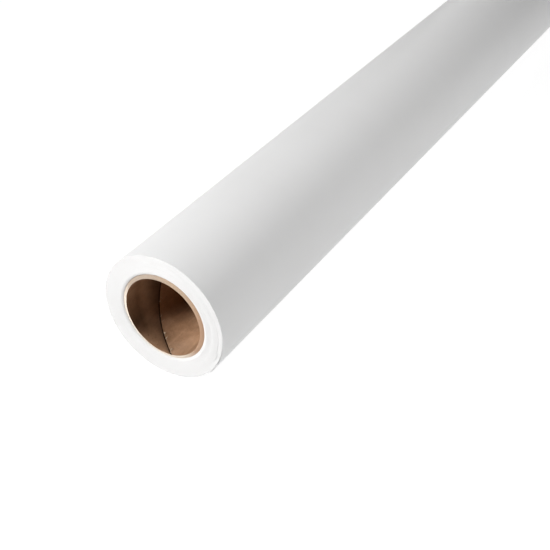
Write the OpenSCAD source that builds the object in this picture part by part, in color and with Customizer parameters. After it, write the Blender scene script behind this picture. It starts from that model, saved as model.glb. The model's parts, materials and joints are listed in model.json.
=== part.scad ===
// Roll of self-adhesive sign vinyl on a spiral-wound board core.
// The roll's axis is X. The origin is the middle of the core's bore, and +Z is up.
// Angles round the roll are measured at the axis, from the top (+Z) towards -Y.

/* [Web] */
// Width of the web, which is the length of the wound part
web_w = 1220; // [300:10:1600]
// Outer diameter of the wound roll
roll_d = 121; // [110:1:160]
// Thickness of the face film with its coat of adhesive
film_t = 0.105; // [0.08:0.005:0.2]
// Thickness of the release liner
liner_t = 0.137; // [0.1:0.001:0.2]

/* [Core] */
// Diameter of the core's bore
bore_d = 76.2; // [50:0.1:77]
// Thickness of one ply of core board
ply_t = 0.5; // [0.3:0.05:0.7]
// How far each end of the core stands out of the wound web. At 0 they are flush.
core_proud = 0; // [0:0.5:5]

/* [Start tape] */
// Width of the double-sided tape that holds the web's leading edge to the core
tape_w = 12; // [6:1:13]
// Thickness of that tape
tape_t = 0.15; // [0.05:0.01:0.25]

/* [Tail] */
// Angle at which the loose tail leaves the roll
lift_a = 82; // [70:1:90]
// Angle that each of the tail's links takes up. The film peels off the liner on the last one.
link_a = 12; // [8:0.5:12]
// Gap between the tail and the turn under it, where the tail leaves the roll
tail_gap = 0.3; // [0.2:0.05:0.5]
// How much larger the tail's own radius is than the roll's
tail_slack = 3; // [0:0.5:6]
// Width of the flexing line between two links of the tail
flex_w = 0.3; // [0.2:0.05:0.6]

/* [Hidden] */
$fn = 180;
BODY_PLIES = 5;
TAIL_LINKS = 3;

web_t = film_t + liner_t;
bore_r = bore_d / 2;
core_r = bore_r + (BODY_PLIES + 2) * ply_t;
core_len = web_w + 2 * core_proud;
tape_half_a = tape_w / 2 / core_r * 180 / PI;

// The outermost turn is a spiral of two half turns. Their centres are half a thickness apart,
// so it has risen by one thickness when it comes round and becomes the tail.
spiral_step = web_t / 2;
wound_r = roll_d / 2 - 2 * web_t;
first_half_a = lift_a - 360;
second_half_a = lift_a - 180;
second_centre = -spiral_step * direction(second_half_a);

// The tail lies over the start of that turn. Its own curve is flatter, and leaves at a tangent.
tail_r = wound_r + web_t + tail_gap + tail_slack;
tail_centre = -tail_slack * direction(lift_a);
flex_half_a = flex_w / 2 / tail_r * 180 / PI;

FILM_WHITE = [0.94, 0.94, 0.94];
LINER_WHITE = [0.88, 0.88, 0.86];
KRAFT = [0.62, 0.48, 0.37];
KRAFT_DARK = [0.52, 0.39, 0.29];
TAPE_CREAM = [0.84, 0.77, 0.6];

function body_ply_name(i) = str("core_body_ply_", i);
function tail_liner_name(i) = str("tail_liner_", i);
function tail_film_name(i) = str("tail_film_", i);

// Unit vector at an angle round the roll, as [y, z]
function direction(a) = [-sin(a), cos(a)];

// A curved sheet: part of a tube along X, from one angle to another
module band(r_in, thickness, from_a, to_a, centre = [0, 0]) {
    translate([0, centre[0], centre[1]])
        rotate([90, 0, 90])
            rotate([0, 0, from_a + 90])
                rotate_extrude(angle = to_a - from_a)
                    translate([r_in, -web_w / 2])
                        square([thickness, web_w]);
}

// One ply of the core, counted outwards from the bore
module ply(index, tone) {
    r_in = bore_r + index * ply_t;
    color(tone)
        rotate([0, 90, 0])
            difference() {
                cylinder(r = r_in + ply_t, h = core_len, center = true);
                cylinder(r = r_in, h = core_len + 1, center = true);
            }
}

// A layer of the outermost turn, at a height above the wound web
module outer_turn_layer(height, thickness) {
    r_first = wound_r + height;
    band(r_first, thickness, first_half_a, second_half_a);
    band(r_first + spiral_step, thickness, second_half_a, lift_a - flex_half_a, second_centre);
}

// A layer of one link of the tail, counted from where it leaves the roll
module tail_layer(height, thickness, link) {
    from_a = lift_a + (link - 1) * link_a;
    band(
        tail_r + height, thickness,
        from_a + flex_half_a, from_a + link_a - flex_half_a,
        tail_centre
    );
}

module core_inner_ply() ply(0, KRAFT);
module core_body_ply(i) ply(i, KRAFT_DARK);
module core_outer_ply() ply(BODY_PLIES + 1, KRAFT);

module start_tape() {
    color(TAPE_CREAM)
        band(core_r, tape_t, -tape_half_a, tape_half_a);
}

// Every turn but the last, wound tight
module wound_web() {
    color(FILM_WHITE)
        difference() {
            union() {
                band(bore_r, wound_r - bore_r, first_half_a, second_half_a);
                band(bore_r, wound_r + spiral_step - bore_r, second_half_a, lift_a, second_centre);
            }
            rotate([0, 90, 0])
                cylinder(r = core_r, h = web_w + 1, center = true);
            band(core_r - 1, 1 + tape_t, -tape_half_a, tape_half_a);
        }
}

module outer_turn_liner() color(LINER_WHITE) outer_turn_layer(0, liner_t);
module outer_turn_film() color(FILM_WHITE) outer_turn_layer(liner_t, film_t);

module tail_liner(i) color(LINER_WHITE) tail_layer(0, liner_t, i);
module tail_film(i) color(FILM_WHITE) tail_layer(liner_t, film_t, i);

// The web's last strip, where the film peels up off the liner
module edge_liner() tail_liner(TAIL_LINKS + 1);
module edge_film() tail_film(TAIL_LINKS + 1);

core_inner_ply();
for (i = [1:BODY_PLIES])
    core_body_ply(i);
core_outer_ply();
start_tape();
wound_web();
outer_turn_liner();
outer_turn_film();
for (i = [1:TAIL_LINKS])
    tail_liner(i);
for (i = [1:TAIL_LINKS])
    tail_film(i);
edge_liner();
edge_film();
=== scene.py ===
import json
import math

import bmesh
import bpy
import numpy as np
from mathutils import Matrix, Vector


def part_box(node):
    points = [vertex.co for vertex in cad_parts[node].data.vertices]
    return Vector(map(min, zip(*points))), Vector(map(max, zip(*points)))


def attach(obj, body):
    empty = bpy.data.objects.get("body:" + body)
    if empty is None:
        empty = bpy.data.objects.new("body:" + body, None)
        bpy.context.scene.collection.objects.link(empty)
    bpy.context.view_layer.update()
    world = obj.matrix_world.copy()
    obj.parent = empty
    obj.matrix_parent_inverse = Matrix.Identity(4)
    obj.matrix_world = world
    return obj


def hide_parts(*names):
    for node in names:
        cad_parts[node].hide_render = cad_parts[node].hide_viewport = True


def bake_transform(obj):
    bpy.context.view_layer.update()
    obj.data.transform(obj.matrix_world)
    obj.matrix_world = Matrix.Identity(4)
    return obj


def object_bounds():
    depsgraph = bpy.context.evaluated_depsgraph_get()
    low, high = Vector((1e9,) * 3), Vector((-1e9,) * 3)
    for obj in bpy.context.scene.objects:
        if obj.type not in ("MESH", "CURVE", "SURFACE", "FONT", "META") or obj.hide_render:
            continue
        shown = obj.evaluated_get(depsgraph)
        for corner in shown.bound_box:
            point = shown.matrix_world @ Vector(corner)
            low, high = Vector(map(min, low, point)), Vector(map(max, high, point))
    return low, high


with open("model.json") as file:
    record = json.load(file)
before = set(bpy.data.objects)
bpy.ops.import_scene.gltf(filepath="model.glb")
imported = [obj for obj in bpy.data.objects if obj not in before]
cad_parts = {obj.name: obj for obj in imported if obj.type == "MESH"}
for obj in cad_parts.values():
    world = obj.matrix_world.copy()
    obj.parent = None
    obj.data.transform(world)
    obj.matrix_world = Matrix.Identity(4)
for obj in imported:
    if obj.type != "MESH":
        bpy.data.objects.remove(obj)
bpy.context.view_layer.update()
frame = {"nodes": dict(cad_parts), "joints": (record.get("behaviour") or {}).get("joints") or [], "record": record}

MM = 0.001
RNG = np.random.default_rng(17)


# ---------------------------------------------------------------- sizes, read from the frame
def node_points(node):
    """Vertices of a CAD node, in the row frame."""
    vertices = frame["nodes"][node].data.vertices
    return np.array([v.co for v in vertices], float).reshape(-1, 3)


def node_radii(node):
    """Smallest and largest distance of a CAD node's vertices from the roll's axis."""
    radii = np.hypot(*node_points(node)[:, 1:].T)
    return radii.min(), radii.max()


def angle_of(y, z):
    """Angle round the roll of a point."""
    return math.degrees(math.atan2(-y, z))


def joint_angle(name):
    """Angle round the roll of a joint's axis."""
    joint = next(j for j in frame["joints"] if j["name"] == name)
    return angle_of(*joint["pos_m"][1:])


def mount_radius(name):
    """Radius of one of the record's bores."""
    mount = next(m for m in frame["record"]["mounts"] if m["name"] == name)
    return mount["dims"]["r_mm"] * MM


PLIES = ["core_inner_ply"] + [f"core_body_ply_{i}" for i in range(1, 6)] + ["core_outer_ply"]
CORE_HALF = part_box("core_inner_ply")[1].x
WEB_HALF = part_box("wound_web")[1].x
BORE_R = mount_radius("core_bore")
CORE_R = node_radii("core_outer_ply")[1]
PLY_T = (CORE_R - BORE_R) / len(PLIES)
TAPE_T = node_radii("start_tape")[1] - CORE_R
TAPE_HALF_A = max(angle_of(y, z) for _, y, z in node_points("start_tape"))
WOUND_R = node_radii("outer_turn_liner")[0]
LINER_T = node_radii("outer_turn_film")[0] - WOUND_R
WEB_T = node_radii("wound_web")[1] - WOUND_R
LIFT_A = joint_angle("tail_lift")
UNROLL_1_A = joint_angle("tail_unroll_1")
UNROLL_2_A = joint_angle("tail_unroll_2")
PEEL_A = joint_angle("film_peel")
EDGE_A = max(angle_of(y, z) for _, y, z in node_points("edge_film"))

# ---------------------------------------------------------------- the web's shape
# Steps round one turn, angles of a step there and on the tail, and places along the roll
TURN_STEPS = 128
STEP_A = 360 / TURN_STEPS
TAIL_STEP_A = 0.5
WEB_COLUMNS = 61
# The tail's rise off the roll: where it starts, its height at the free edge, and its curve
RISE_FROM_A = LIFT_A - 12
RISE = 0.95 * MM
RISE_POWER = 1.3
# Unevenness of the outermost turn: its height, and waves by turn, by metre and their phases
WAVE = 0.05 * MM
WAVES = [(2, 7.1, 0.0), (3, -11.3, 1.0), (1, 17.9, 2.2), (5, 4.3, 0.6)]
# Gap between the film and the liner under it
FILM_GAP = 0.003 * MM
# How far the ends of the outermost turn and the tail lie in, and how much that varies
TRIM = 0.06 * MM
TRIM_WAVE = 0.05 * MM
# How far the ends of the innermost turns lie in, and over what width of the wound end
WEB_DISH = 1.3 * MM
DISH_WIDTH = 3.0 * MM
# Four points across the end of each turn, from its liner outwards to its film: their values in
# the layer attribute, and how far each lies in. The last value is that of the outside.
LAYERS = [0.0, 0.33, 0.66, 1.0]
LAYER_RECESS = np.array([0.030, 0.0, 0.016, 0.002]) * MM
LAYER_OUTSIDE = 0.5

# Loose places between turns: turns under the surface, angles from and to, width and depth
SLITS = [
    (17, 70, 118, 0.13 * MM, 4 * MM),
    (12, 105, 117, 0.18 * MM, 4 * MM),
]


def smooth(t):
    """0 below 0, 1 above 1, and a smooth step between."""
    t = np.clip(t, 0, 1)
    return t * t * (3 - 2 * t)


def window(a, a_from, a_to):
    """A smooth hump between two angles, for angles of any turn."""
    a = (np.asarray(a, float) - a_from) % 360 / (a_to - a_from)
    return np.where(a < 1, np.sin(np.pi * np.clip(a, 0, 1)) ** 2, 0.0)


def loosened(a):
    """How far the outer turns stand off because of the slits under them."""
    return sum(width * window(a, a0, a1) for _, a0, a1, width, _ in SLITS)


def wave(a, x):
    """Slight unevenness of the outermost turn. It is never inwards."""
    a = np.radians(a)
    total = sum(np.sin(round_turn * a + along * x + phase) for round_turn, along, phase in WAVES)
    return WAVE * (len(WAVES) + total) / len(WAVES)


def web_radius(a, x):
    """Inner radius of the outermost turn and of the tail that carries on from it."""
    wound = WOUND_R + WEB_T * (a - LIFT_A + 360) / 360
    lifted = RISE * np.clip((a - RISE_FROM_A) / (EDGE_A - RISE_FROM_A), 0, None) ** RISE_POWER
    return wound + lifted + loosened(a) + wave(a, x)


def at(x, a, r):
    """Points at places along the roll, angles and radii."""
    x, a, r = np.broadcast_arrays(x, np.radians(a), r)
    return np.stack([x, -r * np.sin(a), r * np.cos(a)], -1)


# ---------------------------------------------------------------- mesh helpers
SHARP_A = 40


def make_object(name, points, faces, kinds, materials):
    """A mesh object. kinds gives the index of each face's material."""
    mesh = bpy.data.meshes.new(name)
    mesh.from_pydata(points.tolist(), [], faces)
    mesh.polygons.foreach_set("material_index", np.asarray(kinds, np.int32))
    mesh.polygons.foreach_set("use_smooth", np.ones(len(faces), bool))
    mesh.set_sharp_from_angle(angle=math.radians(SHARP_A))
    for m in materials:
        mesh.materials.append(m)
    obj = bpy.data.objects.new(name, mesh)
    bpy.context.scene.collection.objects.link(obj)
    return obj


def set_attribute(obj, name, values):
    """Gives each vertex a number that a material can read."""
    attribute = obj.data.attributes.new(name, "FLOAT", "POINT")
    attribute.data.foreach_set("value", np.asarray(values, np.float32).ravel())


def merged(name, objects):
    """One object made of the meshes of several, which share their materials."""
    joined = bmesh.new()
    for obj in objects:
        joined.from_mesh(obj.data)
    first = objects[0]
    joined.to_mesh(first.data)
    joined.free()
    for obj in objects[1:]:
        bpy.data.objects.remove(obj)
    first.name = name
    return first


def grid_faces(index, flip=False):
    """Quads over a grid of vertex numbers."""
    quads = np.stack([index[:-1, :-1], index[:-1, 1:], index[1:, 1:], index[1:, :-1]], -1)
    quads = quads.reshape(-1, 4)
    return quads[:, ::-1] if flip else quads


def shell(name, inner, outer, materials):
    """A thin closed sheet between two grids of points, angles by places along the roll.
    materials: of its outer side, its inner side and its cut edges."""
    rows, cols = inner.shape[:2]
    low = np.arange(rows * cols).reshape(rows, cols)
    high = low + rows * cols
    sides = [
        (grid_faces(high, flip=True), 0),
        (grid_faces(low), 1),
        (grid_faces(np.stack([low[:, 0], high[:, 0]])), 2),
        (grid_faces(np.stack([low[:, -1], high[:, -1]]), flip=True), 2),
        (grid_faces(np.stack([low[0], high[0]]), flip=True), 2),
        (grid_faces(np.stack([low[-1], high[-1]])), 2),
    ]
    faces = np.concatenate([f for f, _ in sides]).tolist()
    kinds = np.concatenate([np.full(len(f), k) for f, k in sides])
    points = np.concatenate([inner.reshape(-1, 3), outer.reshape(-1, 3)])
    return make_object(name, points, faces, kinds, materials)


# ---------------------------------------------------------------- material helpers
class Nodes:
    """A material's node tree, with short ways to add to it."""

    def __init__(self, name):
        self.material = bpy.data.materials.new(name)
        self.material.use_nodes = True
        self.tree = self.material.node_tree
        self.shader = self.tree.nodes["Principled BSDF"]
        self.place = self.tree.nodes.new("ShaderNodeTexCoord").outputs["Object"]

    def link(self, source, target):
        self.tree.links.new(source, target)

    def scaled(self, scale):
        """The place on the object, stretched by a scale for each axis."""
        node = self.tree.nodes.new("ShaderNodeMapping")
        node.inputs["Scale"].default_value = scale
        self.link(self.place, node.inputs["Vector"])
        return node.outputs["Vector"]

    def noise(self, scale, detail=3.0, stretch=(1, 1, 1), roughness=0.5, distortion=0.0):
        node = self.tree.nodes.new("ShaderNodeTexNoise")
        node.inputs["Scale"].default_value = scale
        node.inputs["Detail"].default_value = detail
        node.inputs["Roughness"].default_value = roughness
        node.inputs["Distortion"].default_value = distortion
        self.link(self.scaled(stretch), node.inputs["Vector"])
        return node.outputs["Fac"]

    def ramp(self, value, stops):
        """Colours by value. stops: (position, colour) pairs."""
        node = self.tree.nodes.new("ShaderNodeValToRGB")
        elements = node.color_ramp.elements
        while len(elements) < len(stops):
            elements.new(1.0)
        for element, (position, colour) in zip(elements, stops):
            element.position = position
            element.color = (*colour, 1)
        self.link(value, node.inputs["Fac"])
        return node.outputs["Color"]

    def span(self, value, low, high, from_low=0.3, from_high=0.7):
        """A value taken from one range to another."""
        node = self.tree.nodes.new("ShaderNodeMapRange")
        node.inputs["From Min"].default_value = from_low
        node.inputs["From Max"].default_value = from_high
        node.inputs["To Min"].default_value = low
        node.inputs["To Max"].default_value = high
        self.link(value, node.inputs["Value"])
        return node.outputs["Result"]

    def mix(self, share, first, second, blend="MIX"):
        """Two colours mixed. A share or a colour is a socket or a constant."""
        node = self.tree.nodes.new("ShaderNodeMix")
        node.data_type = "RGBA"
        node.blend_type = blend
        node.clamp_factor = True
        self.put(share, node.inputs[0])
        self.put(first, node.inputs[6])
        self.put(second, node.inputs[7])
        return node.outputs[2]

    def put(self, value, target):
        """Links a socket, or sets a constant."""
        if isinstance(value, bpy.types.NodeSocket):
            self.link(value, target)
        elif isinstance(value, (int, float)):
            target.default_value = value
        else:
            target.default_value = (*value, 1)

    def across_roll(self, a):
        """How far a place lies towards an angle round the roll, from -1 to 1 at the core."""
        node = self.tree.nodes.new("ShaderNodeVectorMath")
        node.operation = "DOT_PRODUCT"
        node.inputs[1].default_value = at(0, a, 1 / BORE_R)
        self.link(self.place, node.inputs[0])
        return node.outputs["Value"]

    def attribute(self, name):
        node = self.tree.nodes.new("ShaderNodeAttribute")
        node.attribute_name = name
        return node

    def bump(self, height, strength, distance, before=None):
        node = self.tree.nodes.new("ShaderNodeBump")
        node.inputs["Strength"].default_value = strength
        node.inputs["Distance"].default_value = distance
        self.link(height, node.inputs["Height"])
        if before is not None:
            self.link(before, node.inputs["Normal"])
        return node.outputs["Normal"]

    def finish(self, colour, roughness, normal=None, specular=0.5):
        self.put(colour, self.shader.inputs["Base Color"])
        self.put(roughness, self.shader.inputs["Roughness"])
        self.put(specular, self.shader.inputs["Specular IOR Level"])
        if normal is not None:
            self.link(normal, self.shader.inputs["Normal"])
        return self.material


def grey(value, warm=0.0):
    """A near-white, a little warmer for warm above 0."""
    return (value, value * (1 - 0.5 * warm), value * (1 - warm))


def face_film_material():
    """White PVC film: satin, with a trace of orange peel and of bands from the winding."""
    n = Nodes("face_film_white")
    cloudy = n.noise(3.5, detail=2)
    banded = n.noise(1.0, detail=3, stretch=(38, 1.5, 1.5))
    colour = n.ramp(cloudy, [(0.3, grey(0.664, 0.008)), (0.7, grey(0.677, 0.002))])
    colour = n.mix(n.span(banded, 0, 0.35), colour, grey(0.651, 0.008))
    rough = n.span(n.noise(14, detail=4), 0.42, 0.52)
    normal = n.bump(n.noise(700, detail=2), 0.05, 0.2 * MM)
    normal = n.bump(banded, 0.10, 0.3 * MM, before=normal)
    return n.finish(colour, rough, normal, specular=0.35)


def adhesive_material():
    """The adhesive side of the film: greyer, wetter, and finely uneven."""
    n = Nodes("adhesive_side")
    patchy = n.noise(160, detail=3)
    colour = n.ramp(patchy, [(0.35, grey(0.62)), (0.65, grey(0.66, 0.01))])
    rough = n.span(n.noise(420, detail=2), 0.16, 0.34)
    normal = n.bump(n.noise(900, detail=2), 0.25, 0.1 * MM)
    return n.finish(colour, rough, normal, specular=0.6)


def liner_face_material():
    """The siliconised side of the liner: smooth, and a little warm."""
    n = Nodes("liner_release_side")
    colour = n.ramp(n.noise(40, detail=4), [(0.35, grey(0.70, 0.05)), (0.65, grey(0.73, 0.035))])
    rough = n.span(n.noise(90, detail=3), 0.24, 0.34)
    normal = n.bump(n.noise(500, detail=3), 0.06, 0.1 * MM)
    return n.finish(colour, rough, normal, specular=0.5)


def liner_back_material():
    """The back of the liner: matt paper with faint fibres."""
    n = Nodes("liner_back")
    fibres = n.noise(260, detail=5, stretch=(1, 3, 3), distortion=0.8)
    colour = n.ramp(fibres, [(0.35, grey(0.69, 0.03)), (0.65, grey(0.73, 0.02))])
    normal = n.bump(fibres, 0.15, 0.1 * MM)
    return n.finish(colour, 0.7, normal, specular=0.3)


def cut_edge_material():
    """The slit edge of film and liner."""
    n = Nodes("web_cut_edge")
    nicks = n.noise(1400, detail=2)
    colour = n.ramp(nicks, [(0.3, grey(0.62, 0.01)), (0.7, grey(0.67))])
    normal = n.bump(nicks, 0.2, 0.05 * MM)
    return n.finish(colour, 0.55, normal, specular=0.3)


def wound_edge_material():
    """The edges of all the turns, liner and film by turns, with the marks of the slitting knife."""
    n = Nodes("wound_web_edges")
    layer = n.attribute("layer").outputs["Fac"]
    tones = [
        (0.0, grey(0.50, 0.03)),
        (0.33, grey(0.63, 0.010)),
        (0.66, grey(0.58, 0.02)),
        (1.0, grey(0.65)),
    ]
    colour = n.ramp(layer, tones)
    smeared = n.noise(120, detail=4, distortion=0.4)
    colour = n.mix(n.span(smeared, 0.0, 0.45), colour, grey(0.62, 0.006))
    dusty = n.noise(900, detail=2)
    colour = n.mix(n.span(dusty, 0.0, 0.5, 0.62, 0.8), colour, grey(0.55, 0.02))
    normal = n.bump(n.noise(1600, detail=2), 0.12, 0.05 * MM)
    return n.finish(colour, n.span(smeared, 0.5, 0.65), normal, specular=0.3)


def board_colour(n, dark, mid, light):
    """Mottled kraft: cloudy, with fibres and small dark specks."""
    cloudy = n.noise(55, detail=4, roughness=0.6)
    fibres = n.noise(420, detail=4, stretch=(1, 2.6, 2.6), distortion=1.2)
    specks = n.noise(760, detail=1)
    colour = n.ramp(cloudy, [(0.28, dark), (0.5, mid), (0.74, light)])
    fibre_tone = n.ramp(fibres, [(0.3, (0.62, 0.62, 0.62)), (0.7, (1.0, 1.0, 1.0))])
    colour = n.mix(0.55, colour, fibre_tone, blend="MULTIPLY")
    colour = n.mix(n.span(specks, 0, 0.6, 0.68, 0.76), colour, tuple(0.35 * c for c in dark))
    rubbed = n.noise(150, detail=3, stretch=(0.14, 1, 1), distortion=0.5)
    colour = n.mix(n.span(rubbed, 0, 0.35, 0.6, 0.75), colour, tuple(1.2 * c for c in light))
    return colour, fibres


def board_depth_tone(n, across):
    """Painted light and shade by depth, with a painted shadow past the painted light's reach.
    It differs between the strip's first edge and the rest of it.
    """
    inset = n.span(n.attribute("inset").outputs["Fac"], 0, 1, *INSET_RANGE)
    beyond = n.span(n.attribute("beyond").outputs["Fac"], 0, 1, *BEYOND_RANGE)
    first_edge = n.ramp(inset, FIRST_EDGE_PAINTED_LIGHT_AND_SHADE)
    # Painted shadow past the reach of the painted light
    first_edge = n.mix(1.0, first_edge, n.ramp(beyond, PAINTED_SHADOW_TONES), blend="MULTIPLY")
    return n.mix(n.span(across, 0, 1, *FIRST_EDGE), first_edge, n.ramp(inset, LAST_EDGE_PAINTED_SHADE))


def board_material(name, dark, mid, light, specular=0.2):
    """A face of one of the core's plies, with painted shade across its strip and painted light
    and shade by how deep it lies.
    """
    n = Nodes(name)
    colour, fibres = board_colour(n, dark, mid, light)
    across = n.attribute("across").outputs["Fac"]
    # Painted shade: darker across the strip towards its last edge
    colour = n.mix(1.0, colour, n.ramp(across, ACROSS_PAINTED_SHADE), blend="MULTIPLY")
    # Painted light and shade by depth, and painted shadow past the painted light's reach
    colour = n.mix(1.0, colour, board_depth_tone(n, across), blend="MULTIPLY")
    normal = n.bump(fibres, 0.35, 0.15 * MM)
    normal = n.bump(n.noise(90, detail=3), 0.2, 0.3 * MM, before=normal)
    return n.finish(colour, n.span(fibres, 0.72, 0.9), normal, specular=specular)


def board_edge_material():
    """The cut end of the core: unevenly rubbed board, with soft torn fibres, and painted light
    and shade that change round the roll.
    """
    n = Nodes("core_cut_end")
    fibres = n.noise(900, detail=4, distortion=0.6)
    patches = n.noise(110, detail=3)
    colour = n.ramp(fibres, [(0.3, (0.35, 0.255, 0.178)), (0.7, (0.48, 0.37, 0.275))])
    colour = n.mix(n.span(patches, 0, 0.5), colour, (0.36, 0.25, 0.17))
    # Painted light and shade by angle round the roll
    for a, share, low, high, tint in RIM_PAINTED_LIGHT_AND_SHADE:
        colour = n.mix(n.span(n.across_roll(a), 0, share, low, high), colour, tint)
    normal = n.bump(fibres, 0.5, 0.12 * MM)
    return n.finish(colour, 0.9, normal, specular=0.15)


def fibre_material():
    """Loose board fibres: pale and matt."""
    n = Nodes("core_loose_fibres")
    strands = n.noise(1500, detail=2)
    colour = n.ramp(strands, [(0.3, (0.46, 0.34, 0.24)), (0.7, (0.58, 0.45, 0.33))])
    return n.finish(colour, 0.9, n.bump(strands, 0.3, 0.03 * MM), specular=0.1)


def tape_material():
    """Double-sided tape: thin tan paper."""
    n = Nodes("start_tape_paper")
    crepe = n.noise(300, detail=4, stretch=(1, 0.3, 0.3))
    colour = n.ramp(crepe, [(0.3, (0.55, 0.46, 0.33)), (0.7, (0.66, 0.57, 0.43))])
    return n.finish(colour, 0.6, n.bump(crepe, 0.3, 0.1 * MM), specular=0.3)


def floor_material():
    """A white floor that shines a little of its own, as a lit sweep does."""
    n = Nodes("studio_floor")
    colour = n.ramp(n.noise(2.0, detail=2), [(0.3, grey(0.24)), (0.7, grey(0.245))])
    n.shader.inputs["Emission Color"].default_value = (1, 1, 1, 1)
    n.shader.inputs["Emission Strength"].default_value = FLOOR_GLOW
    return n.finish(colour, 0.9, specular=0.0)


# ---------------------------------------------------------------- the core
# The bore's seam: how far it goes along in one turn, and its angle at a depth
SEAM_LEAD = 197.6 * MM
SEAM_A = -142.4
SEAM_DEPTH = 25.9 * MM
# Each ply: the angle from the seam of the one inside it, its clearance, and points across it
STAGGER_A = 131
PLY_CLEARANCE = 0.008 * MM
PLY_COLUMNS = 5
# Width and raggedness of the seams, in the bore and between the plies
BORE_SEAM = (1.35 * MM, 0.14 * MM)
HIDDEN_SEAM = (0.4 * MM, 0.08 * MM)
# How unevenly the plies' ends are trimmed, and the narrowest that a trimmed strip gets
END_TRIM = 0.02 * MM
TIP = 0.05 * MM
# The cut end's bevel: how far its outer edge lies in from its inner one, and its curve
CORE_BEVEL = 1.5 * MM
BEVEL_POWER = 1.5
# The tape: how far its ends lie in from the dished turns, and its points along the roll
TAPE_INSET = 0.4 * MM
TAPE_COLUMNS = 40
# Painted light reaches this far in at one angle of the bore, and less far beside it; deeper, the
# board has painted shadow
PAINTED_LIGHT_REACH = 116 * MM
PAINTED_LIGHT_A = 143
# Tufts of torn fibres along the seam: depth, spread and how many
FIBRES = [
    (4 * MM, 5 * MM, 9),
    (15 * MM, 6 * MM, 9),
    (45 * MM, 50 * MM, 8),
    (180 * MM, 200 * MM, 10),
]
# A fibre: its points, its thickness and its gap to the bore, and how it bows, tapers and arches
FIBRE_POINTS = 9
FIBRE_T = 0.04 * MM
FIBRE_GAP = 0.02 * MM
FIBRE_BOW = 0.25
FIBRE_BOW_A = 2.2
FIBRE_TAPER = 0.75
FIBRE_ARCH_A = 2.6
# Colours of the board, dark, middle and light: in the bore, inside the wall, and a near-black
# that is painted shade, on the seams' edges and on the ply faces that show in the seams
KRAFT = ((0.51, 0.291, 0.16), (0.667, 0.395, 0.234), (0.81, 0.504, 0.317))
KRAFT_INSIDE = ((0.30, 0.19, 0.12), (0.38, 0.25, 0.165), (0.46, 0.31, 0.21))
SEAM_PAINTED_SHADE = ((0.030, 0.011, 0.004), (0.045, 0.017, 0.006), (0.07, 0.028, 0.01))
# Painted light and shade on the core's cut end, a pale painted light at one angle and painted shade
# at the other two: angle where one is strongest, its share, the range in which it comes in, and its colour
RIM_PAINTED_LIGHT_AND_SHADE = [
    (-50, 0.8, 0.4, 0.9, (0.34, 0.28, 0.23)),
    (105, 0.85, 0.35, 0.9, (0.42, 0.26, 0.17)),
    (-145, 0.95, 0.0, 0.5, (0.68, 0.60, 0.51)),
]
# Painted light and shade of the board: painted shade across its strip, and painted light
# and shade by depth over INSET_RANGE at either edge of it.
# FIRST_EDGE is where across the strip the first edge's tones give way to the other's.
ACROSS_PAINTED_SHADE = [
    (0.0, (1, 1, 1)),
    (0.35, (0.76, 0.74, 0.71)),
    (1.0, (0.31, 0.29, 0.27)),
]
INSET_RANGE = (0, 200 * MM)
FIRST_EDGE = (0.3, 0.6)
# Painted shade: darker deeper in, on all but the strip's first edge
LAST_EDGE_PAINTED_SHADE = [
    (0.0, grey(0.58)),
    (0.07, grey(0.70)),
    (0.15, grey(0.70)),
    (0.26, (0.44, 0.38, 0.32)),
    (1.0, (0.35, 0.30, 0.25)),
]
# Painted light and shade: darker at the mouth, lighter deeper in, on the strip's first edge
FIRST_EDGE_PAINTED_LIGHT_AND_SHADE = [
    (0.0, grey(0.58)),
    (0.07, grey(0.61)),
    (0.11, grey(0.80)),
    (0.175, grey(1.0)),
]
# Painted shadow: tones from where the painted light reaches to where it doesn't, over BEYOND_RANGE
BEYOND_RANGE = (-40 * MM, 60 * MM)
PAINTED_SHADOW_TONES = [
    (0.05, grey(0.97)),
    (0.18, (0.70, 0.68, 0.66)),
    (0.30, (0.58, 0.55, 0.52)),
    (0.40, (0.42, 0.38, 0.34)),
    (0.50, (0.39, 0.35, 0.31)),
    (0.60, (0.43, 0.385, 0.34)),
    (0.75, (0.54, 0.48, 0.42)),
    (1.0, (0.64, 0.57, 0.50)),
]


def bevel(r):
    """How far the core's cut end lies in from its inner edge, at a radius."""
    return CORE_BEVEL * ((r - BORE_R) / (CORE_R - BORE_R)) ** BEVEL_POWER


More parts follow.
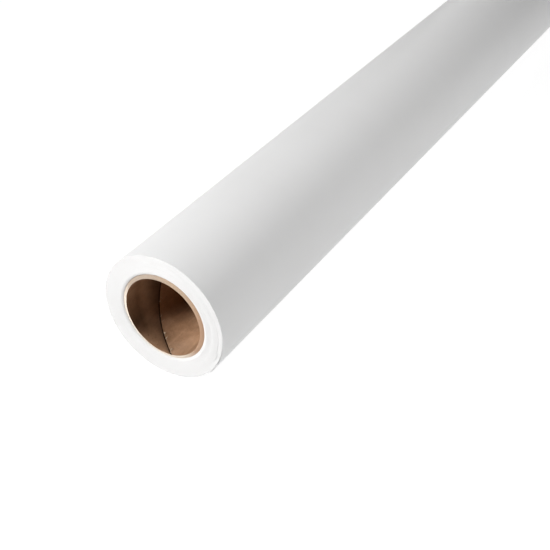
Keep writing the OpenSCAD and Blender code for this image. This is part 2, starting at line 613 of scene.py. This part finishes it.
def helical_ply(name, r_in, r_out, seam_a, gap, ragged, step_a, materials):
    """One ply of the core: a strip wound in a helix, whose edges almost meet at a slanting seam.
    seam_a is the seam's angle at SEAM_DEPTH from the near end of the core.
    materials: of its outer side, its bore side, its trimmed ends and its seam edges.
    Its points tell the material how far across the strip they lie, how far in from the nearer
    end, and how far beyond the reach of the painted light; the material paints light and shade from these."""
    seam_x = SEAM_DEPTH - CORE_HALF + gap / 2
    first_a = seam_a + (-CORE_HALF - SEAM_LEAD + gap - seam_x) / SEAM_LEAD * 360
    last_a = seam_a + (CORE_HALF - seam_x) / SEAM_LEAD * 360
    count = int((last_a - first_a) / step_a)
    a = np.linspace(first_a, last_a, count)
    start = seam_x + (a - seam_a) / 360 * SEAM_LEAD
    low = start + RNG.normal(0, ragged, count)
    high = start + SEAM_LEAD - gap + RNG.normal(0, ragged, count)
    trim = np.abs(RNG.normal(0, END_TRIM, 2))
    grids = []
    for r in (r_in, r_out):
        near = -CORE_HALF + bevel(r) + trim[0]
        far = CORE_HALF - bevel(r) - trim[1]
        x_low = np.clip(low, near, far - TIP)
        x_high = np.clip(high, near + TIP, far)
        grids.append(at(np.linspace(x_low, x_high, PLY_COLUMNS, axis=-1), a[:, None], r))
    obj = shell(name, *grids, materials)
    inset = CORE_HALF - np.abs(np.concatenate(grids)[:, :, 0])
    # Where the painted light stops, by angle round the bore
    reach = PAINTED_LIGHT_REACH * np.cos(np.radians(np.tile(a, 2)[:, None] - PAINTED_LIGHT_A))
    set_attribute(obj, "across", np.tile(np.linspace(0, 1, PLY_COLUMNS), 2 * count))
    set_attribute(obj, "inset", inset)
    set_attribute(obj, "beyond", inset - reach)
    for face in obj.data.polygons:
        if face.material_index == 2 and abs(face.center.x) < CORE_HALF - 2 * CORE_BEVEL:
            face.material_index = 3
    return obj


def seam_place(depth):
    """Angle of the bore's seam at a depth from the near end."""
    return SEAM_A + (depth - SEAM_DEPTH) / SEAM_LEAD * 360


def fibre(depth, off, length, turn, lift, width):
    """A torn paper fibre that stands a little off the bore beside the seam."""
    t = np.linspace(0, 1, FIBRE_POINTS)[:, None]
    bow = FIBRE_BOW * length * np.sin(FIBRE_BOW_A * t)
    along = length * t * math.cos(turn) - bow * math.sin(turn)
    across = length * t * math.sin(turn) + bow * math.cos(turn)
    side = width * (1 - FIBRE_TAPER * t) * np.array([[-0.5, 0.5]])
    x = depth - CORE_HALF + off + along - side * math.sin(turn)
    a = seam_place(depth) - np.degrees((across + side * math.cos(turn)) / BORE_R)
    r = BORE_R - FIBRE_GAP - lift * np.sin(FIBRE_ARCH_A * t)
    return at(x, a, r - FIBRE_T), at(x, a, r)


def build_fibres():
    """Fibres torn loose along the seam, most of them near the core's end."""
    material = fibre_material()
    pieces = []
    for depth, spread, count in FIBRES:
        for _ in range(count):
            place = depth + RNG.uniform(-0.5, 0.5) * spread
            off = RNG.uniform(0.6, 1.4) * MM
            length = RNG.uniform(1.2, 3.6) * MM
            turn = RNG.uniform(-0.9, 1.6)
            lift = RNG.uniform(0.3, 1.2) * MM
            width = RNG.uniform(0.25, 0.7) * MM
            grids = fibre(place, off, length, turn, lift, width)
            pieces.append(shell("fibre", *grids, [material, material, material]))
    obj = merged("core_seam_fibres", pieces)
    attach(obj, "roll")


def build_core():
    """The seven plies, each staggered from the one inside it."""
    kraft = board_material("core_bore_kraft", *KRAFT)
    board = board_material("core_body_board", *KRAFT_INSIDE)
    # Near-black board on the seams' edges and the faces that show through them: painted shade
    seam_shade = board_material("core_seam_painted_shade", *SEAM_PAINTED_SHADE, specular=0.03)
    end = board_edge_material()
    for i, node in enumerate(PLIES):
        bore_side = i == 0
        r_in = BORE_R + i * PLY_T + (0 if bore_side else PLY_CLEARANCE)
        r_out = BORE_R + (i + 1) * PLY_T - PLY_CLEARANCE
        gap, ragged = BORE_SEAM if bore_side else HIDDEN_SEAM
        step_a = STEP_A / 2 if bore_side else STEP_A
        outer = kraft if node == "core_outer_ply" else board
        inner = kraft if bore_side else seam_shade
        name = node.replace("ply", "ply_strip")
        seam_a = SEAM_A + STAGGER_A * i
        sides = [outer, inner, end, seam_shade]
        obj = helical_ply(name, r_in, r_out, seam_a, gap, ragged, step_a, sides)
        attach(obj, "roll")
        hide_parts(node)


def build_tape():
    """The tape between the core and the first turn."""
    a = np.arange(-TAPE_HALF_A, TAPE_HALF_A + 0.1, TAPE_HALF_A / 6)[:, None]
    x = np.linspace(-1, 1, TAPE_COLUMNS)[None] * (WEB_HALF - WEB_DISH - TAPE_INSET)
    tape = tape_material()
    inner = at(x, a, CORE_R)
    outer = at(x, a, CORE_R + TAPE_T)
    obj = shell("start_tape_strip", inner, outer, [tape, tape, tape])
    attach(obj, "roll")
    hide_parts("start_tape")


# ---------------------------------------------------------------- the tight turns
# How the turns ride up over the tape: the angle beside it, and the thickness of web that evens it
TAPE_RAMP_A = 1.5
TAPE_FADE = 1.5 * MM


def wound_columns():
    """How many steps the spiral takes, so that its first edge lies on the tape."""
    turns = (WOUND_R - CORE_R) / WEB_T
    start_a = (LIFT_A - turns * 360) % 360
    return round((turns * 360 + start_a) / STEP_A)


def tape_lift(radius, a):
    """How far the first turns ride up over the tape."""
    over = smooth((TAPE_HALF_A + TAPE_RAMP_A - np.abs((a + 180) % 360 - 180)) / TAPE_RAMP_A)
    return TAPE_T * over * np.exp(-(radius - CORE_R) / TAPE_FADE)


def edge_wander(columns, seed):
    """How far each turn's edge stands in from the end, along the spiral. In millimetres it is
    a mean of 0.1, a slow drift over many turns, a step at each turn and a wobble within one."""
    rng = np.random.default_rng(seed)
    turns = np.arange(columns / TURN_STEPS + 2)
    slow = 0.05 * np.sin(turns * 0.21 + seed) + 0.04 * np.sin(turns * 0.083 + 2 * seed)
    each = rng.normal(0, 0.018, len(turns))
    steps = np.arange(columns) / TURN_STEPS
    wobble = 0.012 * np.sin(2 * np.pi * steps * 3 + seed) + 0.010 * np.sin(2 * np.pi * steps * 7)
    return MM * (0.1 + np.interp(steps, turns, slow + each) + wobble)


def dish(radius):
    """How far the ends of the innermost turns lie in, beside the core."""
    return WEB_DISH * np.clip(1 - (radius - CORE_R) / DISH_WIDTH, 0, 1) ** 2


def wound_end(end, columns):
    """Points of one end of the tight turns, four to a step and one more round the outside,
    and the layer value of each."""
    g = np.arange(columns + 1)
    a = LIFT_A - 360 + (g - columns) * STEP_A
    r = CORE_R + (WOUND_R - CORE_R) * g / columns
    turn = (WOUND_R - CORE_R) * TURN_STEPS / columns
    outwards = np.array([0.0, 0.45 * LINER_T, LINER_T, LINER_T + 0.5 * (turn - LINER_T)])
    radius = r[:, None] + outwards
    depth = edge_wander(columns + 1, end + 3)[:, None] + LAYER_RECESS + dish(radius)
    for under, a0, a1, width, deep in SLITS:
        opening = window(a, a0, a1)
        first = columns - under * TURN_STEPS + int((a0 - LIFT_A) / STEP_A)
        outside = g >= first
        here = outside & (g < first + TURN_STEPS)
        shift = width * opening * outside
        radius += shift[:, None]
        radius[here, 0] -= 0.5 * shift[here]
        depth[here, 0] += deep * np.sqrt(opening[here])
    radius += tape_lift(radius, a[:, None])
    last = g[-TURN_STEPS:]
    rim_a = a[last]
    rim_r = WOUND_R + WEB_T * (last - columns + TURN_STEPS) / TURN_STEPS + loosened(rim_a)
    rim_depth = depth[last, 3]
    radius = np.concatenate([radius.ravel(), rim_r])
    angle = np.concatenate([np.repeat(a, 4), rim_a])
    depth = np.concatenate([depth.ravel(), rim_depth])
    layer = np.concatenate([np.tile(LAYERS, columns + 1), np.full(len(last), LAYER_OUTSIDE)])
    return at(end * (WEB_HALF - depth), angle, radius), layer


def wound_end_faces(columns):
    """Quads of one end, and the closed loops round its inner and outer edges."""
    index = np.arange(4 * (columns + 1)).reshape(-1, 4)
    rim = 4 * (columns + 1) + np.arange(TURN_STEPS)
    beyond = np.concatenate([index[TURN_STEPS:, 0], rim])
    rows = np.column_stack([index, beyond])
    inner_loop = np.concatenate([index[: TURN_STEPS + 1, 0], index[0, :0:-1]])
    outer_loop = np.concatenate([[index[-1, 0]], rim, index[-1, :0:-1]])
    return grid_faces(rows), inner_loop, outer_loop


def wall_faces(loop, other, flip):
    """Quads between a loop of one end and the same loop of the other end."""
    loop = np.append(loop, loop[0])
    return grid_faces(np.stack([loop, loop + other]), flip)


def build_wound_web():
    """Every tight turn, as one closed mesh whose two ends show the spiral of liner and film."""
    columns = wound_columns()
    near, near_layer = wound_end(-1, columns)
    far, far_layer = wound_end(1, columns)
    quads, inner_loop, outer_loop = wound_end_faces(columns)
    count = len(near)
    sides = [
        (quads[:, ::-1], 0),
        (quads + count, 0),
        (wall_faces(inner_loop, count, True), 1),
        (wall_faces(outer_loop, count, False), 1),
    ]
    faces = np.concatenate([f for f, _ in sides]).tolist()
    kinds = np.concatenate([np.full(len(f), k) for f, k in sides])
    points = np.concatenate([near, far])
    materials = [wound_edge_material(), MATERIALS["film"]]
    obj = make_object("wound_web_turns", points, faces, kinds, materials)
    set_attribute(obj, "layer", np.concatenate([near_layer, far_layer]))
    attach(obj, "roll")
    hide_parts("wound_web")


# ---------------------------------------------------------------- the outermost turn and the tail
# Shares of a link, given to bend for the tail and for the peeling film
LIFT_SHARE = 0.85
PEEL_SHARE = 0.5


def web_layer(name, node, from_a, to_a, step_a, height, thickness, materials):
    """A piece of the film or the liner, between two angles."""
    count = max(2, int(round((to_a - from_a) / step_a)) + 1)
    a = np.linspace(from_a, to_a, count)[:, None]
    x = np.linspace(-1, 1, WEB_COLUMNS)[None]
    trim = TRIM + TRIM_WAVE * np.sin(np.radians(a) * 2 + height / MM * 9)
    x = x * (WEB_HALF - trim)
    r = web_radius(a, x) + height
    obj = shell(name, at(x, a, r), at(x, a, r + thickness), materials)
    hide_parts(node)
    return obj


def bend(obj, from_a, share):
    """Bakes a tail piece's placement into its mesh. It works out where a bend over a share of one
    link would start and end, but doesn't bend the piece.
    """
    link_a = UNROLL_1_A - LIFT_A
    ends = [at(0, a, WOUND_R + 2 * WEB_T) for a in (from_a, from_a + share * link_a)]
    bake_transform(obj)


def build_web():
    """Film and liner of the outermost turn, and of the four links of the tail."""
    film = [MATERIALS["film"], MATERIALS["adhesive"], MATERIALS["edge"]]
    liner = [MATERIALS["liner_face"], MATERIALS["liner_back"], MATERIALS["edge"]]
    film_t = WEB_T - LINER_T - FILM_GAP
    layers = [
        ("face_film", "film", LINER_T + FILM_GAP, film_t, film, "face_film"),
        ("release_liner", "liner", 0.0, LINER_T, liner, "release_liner"),
    ]
    links = [
        ("tail_1", "tail_{}_1", LIFT_A, UNROLL_1_A, "roll", "tail_near"),
        ("tail_2", "tail_{}_2", UNROLL_1_A, UNROLL_2_A, "tail_near", "tail_middle"),
        ("tail_3", "tail_{}_3", UNROLL_2_A, PEEL_A, "tail_middle", "tail_far"),
        ("edge", "edge_{}", PEEL_A, EDGE_A, "tail_far", "film_edge"),
    ]
    for name, kind, height, thickness, materials, slot in layers:
        turn = web_layer(f"{name}_outer_turn", f"outer_turn_{kind}", LIFT_A - 360, LIFT_A,
                         STEP_A, height, thickness, materials)
        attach(turn, "roll")
        for link, node, from_a, to_a, body_a, body_b in links:
            obj = web_layer(f"{name}_{link}", node.format(kind), from_a, to_a,
                            TAIL_STEP_A, height, thickness, materials)
            if (kind, link) == ("liner", "edge"):
                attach(obj, body_a)
            else:
                bend(obj, from_a, PEEL_SHARE if link == "edge" else LIFT_SHARE)


# ---------------------------------------------------------------- stage, lights, camera
FLOOR_HALF = 60.0
FLOOR_GLOW = 0.85
# Brightness of the surround at the horizon, and the height, as a sine, where it ends
HORIZON_GLOW = 0.45
HORIZON_HEIGHT = 0.25
# Soft lights: name, end of the roll, direction from there, distance, size, power
LIGHTS = [
    ("key", -1, (-0.6, 0.57, 0.57), 2.0, 1.6, 36.5),
    ("front", -1, (-0.8, 0.335, 0.494), 1.2, 0.25, 8.7),
    ("side", -1, (0.2, -0.5, 0.85), 1.2, 1.0, 9.3),
    ("overhead", -1, (0.3, 0.3, 0.9), 1.6, 1.2, 2.5),
    ("far", 1, (1.0, 0.35, 0.05), 1.2, 0.8, 8.0),
]
CAMERA_AZIMUTH = -59.1
CAMERA_ELEVATION = 35.75
CAMERA_DISTANCE = 0.946
CAMERA_LENS = 66.46
CAMERA_TARGET = Vector((0.13005 - WEB_HALF, -0.0326, -0.0237))


def build_floor():
    """A plain white floor that the roll lies on."""
    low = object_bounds()[0].z
    steps = np.linspace(-FLOOR_HALF, FLOOR_HALF, 9)
    x, y = np.meshgrid(steps, steps)
    points = np.stack([x.ravel(), y.ravel(), np.full(x.size, low)], -1)
    faces = grid_faces(np.arange(x.size).reshape(x.shape)).tolist()
    obj = make_object("floor", points, faces, np.zeros(len(faces)), [floor_material()])


def build_world():
    """A white sweep round the horizon, and darkness over it."""
    world = bpy.data.worlds.new("surround")
    world.use_nodes = True
    tree = world.node_tree
    background = tree.nodes["Background"]
    background.inputs["Color"].default_value = (1, 1, 1, 1)
    place = tree.nodes.new("ShaderNodeTexCoord").outputs["Generated"]
    split = tree.nodes.new("ShaderNodeSeparateXYZ")
    fade = tree.nodes.new("ShaderNodeMapRange")
    fade.interpolation_type = "SMOOTHSTEP"
    fade.inputs["From Min"].default_value = 0.0
    fade.inputs["From Max"].default_value = HORIZON_HEIGHT
    fade.inputs["To Min"].default_value = HORIZON_GLOW
    fade.inputs["To Max"].default_value = 0.0
    tree.links.new(place, split.inputs["Vector"])
    tree.links.new(split.outputs["Z"], fade.inputs["Value"])
    tree.links.new(fade.outputs["Result"], background.inputs["Strength"])
    bpy.context.scene.world = world


def add_area_light(name, place, aim, size, power):
    """A square soft light at a place, turned to an aim."""
    data = bpy.data.lights.new(name, "AREA")
    data.shape = "SQUARE"
    data.size = size
    data.energy = power
    obj = bpy.data.objects.new(name, data)
    bpy.context.scene.collection.objects.link(obj)
    obj.location = place
    obj.rotation_mode = "QUATERNION"
    obj.rotation_quaternion = (Vector(aim) - Vector(place)).to_track_quat("-Z", "Y")
    return obj


def build_lights():
    """Large soft lights round the roll's two ends."""
    for name, end, direction, distance, size, power in LIGHTS:
        aim = Vector((end * WEB_HALF, 0, 0))
        place = aim + Vector(direction).normalized() * distance
        add_area_light(name, place, aim, size, power)


def build_camera():
    """The camera, looking down the roll from above its near end."""
    a = math.radians(CAMERA_AZIMUTH)
    e = math.radians(CAMERA_ELEVATION)
    back = Vector((math.sin(a) * math.cos(e), -math.cos(a) * math.cos(e), math.sin(e)))
    data = bpy.data.cameras.new("camera")
    data.lens = CAMERA_LENS
    data.sensor_width = 36
    data.clip_start = 0.01
    data.clip_end = 100
    obj = bpy.data.objects.new("camera", data)
    bpy.context.scene.collection.objects.link(obj)
    obj.location = CAMERA_TARGET + back * CAMERA_DISTANCE
    obj.rotation_mode = "QUATERNION"
    obj.rotation_quaternion = (-back).to_track_quat("-Z", "Y")
    bpy.context.scene.camera = obj


MATERIALS = {
    "film": face_film_material(),
    "adhesive": adhesive_material(),
    "liner_face": liner_face_material(),
    "liner_back": liner_back_material(),
    "edge": cut_edge_material(),
}
build_core()
build_fibres()
build_tape()
build_wound_web()
build_web()
build_floor()
build_world()
build_lights()
build_camera()
bpy.context.scene.view_settings.view_transform = "Standard"
